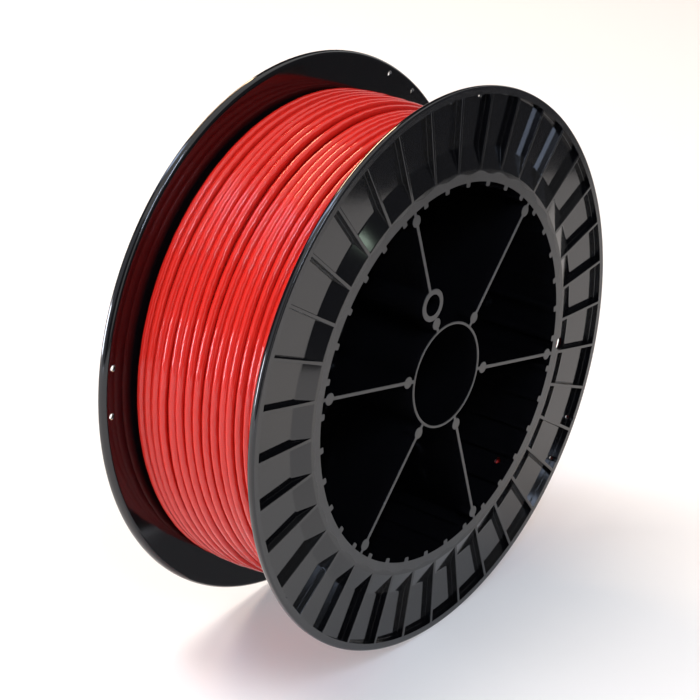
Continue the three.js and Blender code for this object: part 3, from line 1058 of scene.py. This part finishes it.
class REEL_OT_flanges(bpy.types.Operator):
    """Make both ribbed flanges"""

    bl_idname = "reel.flanges"
    bl_label = "Flanges"

    def execute(self, context):
        for side in SIDES:
            make_flange(context, side)
        return {"FINISHED"}


class REEL_OT_barrels(bpy.types.Operator):
    """Make both halves of the barrel"""

    bl_idname = "reel.barrels"
    bl_label = "Barrel halves"

    def execute(self, context):
        for side in SIDES:
            make_barrel(context, side)
        return {"FINISHED"}


class REEL_OT_hubs(bpy.types.Operator):
    """Make both halves of the hub"""

    bl_idname = "reel.hubs"
    bl_label = "Hub halves"

    def execute(self, context):
        for side in SIDES:
            make_hub(context, side)
        return {"FINISHED"}


class REEL_OT_webs(bpy.types.Operator):
    """Make the webs of both halves, the drive webs with them"""

    bl_idname = "reel.webs"
    bl_label = "Webs"

    def execute(self, context):
        for side in SIDES:
            for number in range(len(WEB_ANGLES)):
                make_web(context, side, number)
        return {"FINISHED"}


class REEL_OT_outer_turns(bpy.types.Operator):
    """Wind the outer layer of cable"""

    bl_idname = "reel.outer_turns"
    bl_label = "Outer turns"

    def execute(self, context):
        make_outer_turns(context)
        return {"FINISHED"}


class REEL_OT_inner_layers(bpy.types.Operator):
    """Make the layers of cable beneath the outer one"""

    bl_idname = "reel.inner_layers"
    bl_label = "Layers beneath"

    def execute(self, context):
        make_inner_layers(context)
        return {"FINISHED"}


class REEL_OT_start_end(bpy.types.Operator):
    """Make the tucked-in start of the cable"""

    bl_idname = "reel.start_end"
    bl_label = "Cable start"

    def execute(self, context):
        make_start_end(context)
        return {"FINISHED"}


class REEL_OT_stage(bpy.types.Operator):
    """Set up the floor, the lights and the camera"""

    bl_idname = "reel.stage"
    bl_label = "Studio"

    def execute(self, context):
        make_world()
        make_floor(context)
        for name, settings in CARDS.items():
            make_card(name, *settings)
        make_shade_disc()
        for name, settings in LAMPS.items():
            make_lamp(name, *settings)
        make_camera()
        context.scene.view_settings.view_transform = "Standard"
        return {"FINISHED"}


OPERATORS = (
    REEL_OT_stage,
    REEL_OT_flanges,
    REEL_OT_barrels,
    REEL_OT_hubs,
    REEL_OT_webs,
    REEL_OT_outer_turns,
    REEL_OT_inner_layers,
    REEL_OT_start_end,
)
GROUPS = {
    "moulding_sizes": MouldingSizes,
    "cable_sizes": CableSizes,
    "reel_colours": ReelColours,
}


class REEL_PT_panel(bpy.types.Panel):
    """Sizes, colours and pieces of the cable reel"""

    bl_idname = "REEL_PT_panel"
    bl_label = "Cable Reel"
    bl_space_type = "VIEW_3D"
    bl_region_type = "UI"
    bl_category = "Cable Reel"

    def draw(self, context):
        for name in GROUPS:
            settings = getattr(context.scene, name)
            box = self.layout.box()
            for key in settings.bl_rna.properties.keys():
                if key not in ("rna_type", "name"):
                    box.prop(settings, key)
        for operator in OPERATORS:
            self.layout.operator(operator.bl_idname)


def register():
    """Registers the settings, the operators and the panel."""
    for name, group in GROUPS.items():
        bpy.utils.register_class(group)
        setattr(bpy.types.Scene, name, bpy.props.PointerProperty(type=group))
    for operator in OPERATORS:
        bpy.utils.register_class(operator)
    bpy.utils.register_class(REEL_PT_panel)


def unregister():
    """Takes them all away again."""
    bpy.utils.unregister_class(REEL_PT_panel)
    for operator in reversed(OPERATORS):
        bpy.utils.unregister_class(operator)
    for name, group in reversed(GROUPS.items()):
        delattr(bpy.types.Scene, name)
        bpy.utils.unregister_class(group)


def main():
    """Makes the whole scene."""
    register()
    for operator in OPERATORS:
        getattr(bpy.ops.reel, operator.bl_idname.removeprefix("reel."))()


if __name__ == "__main__":
    main()
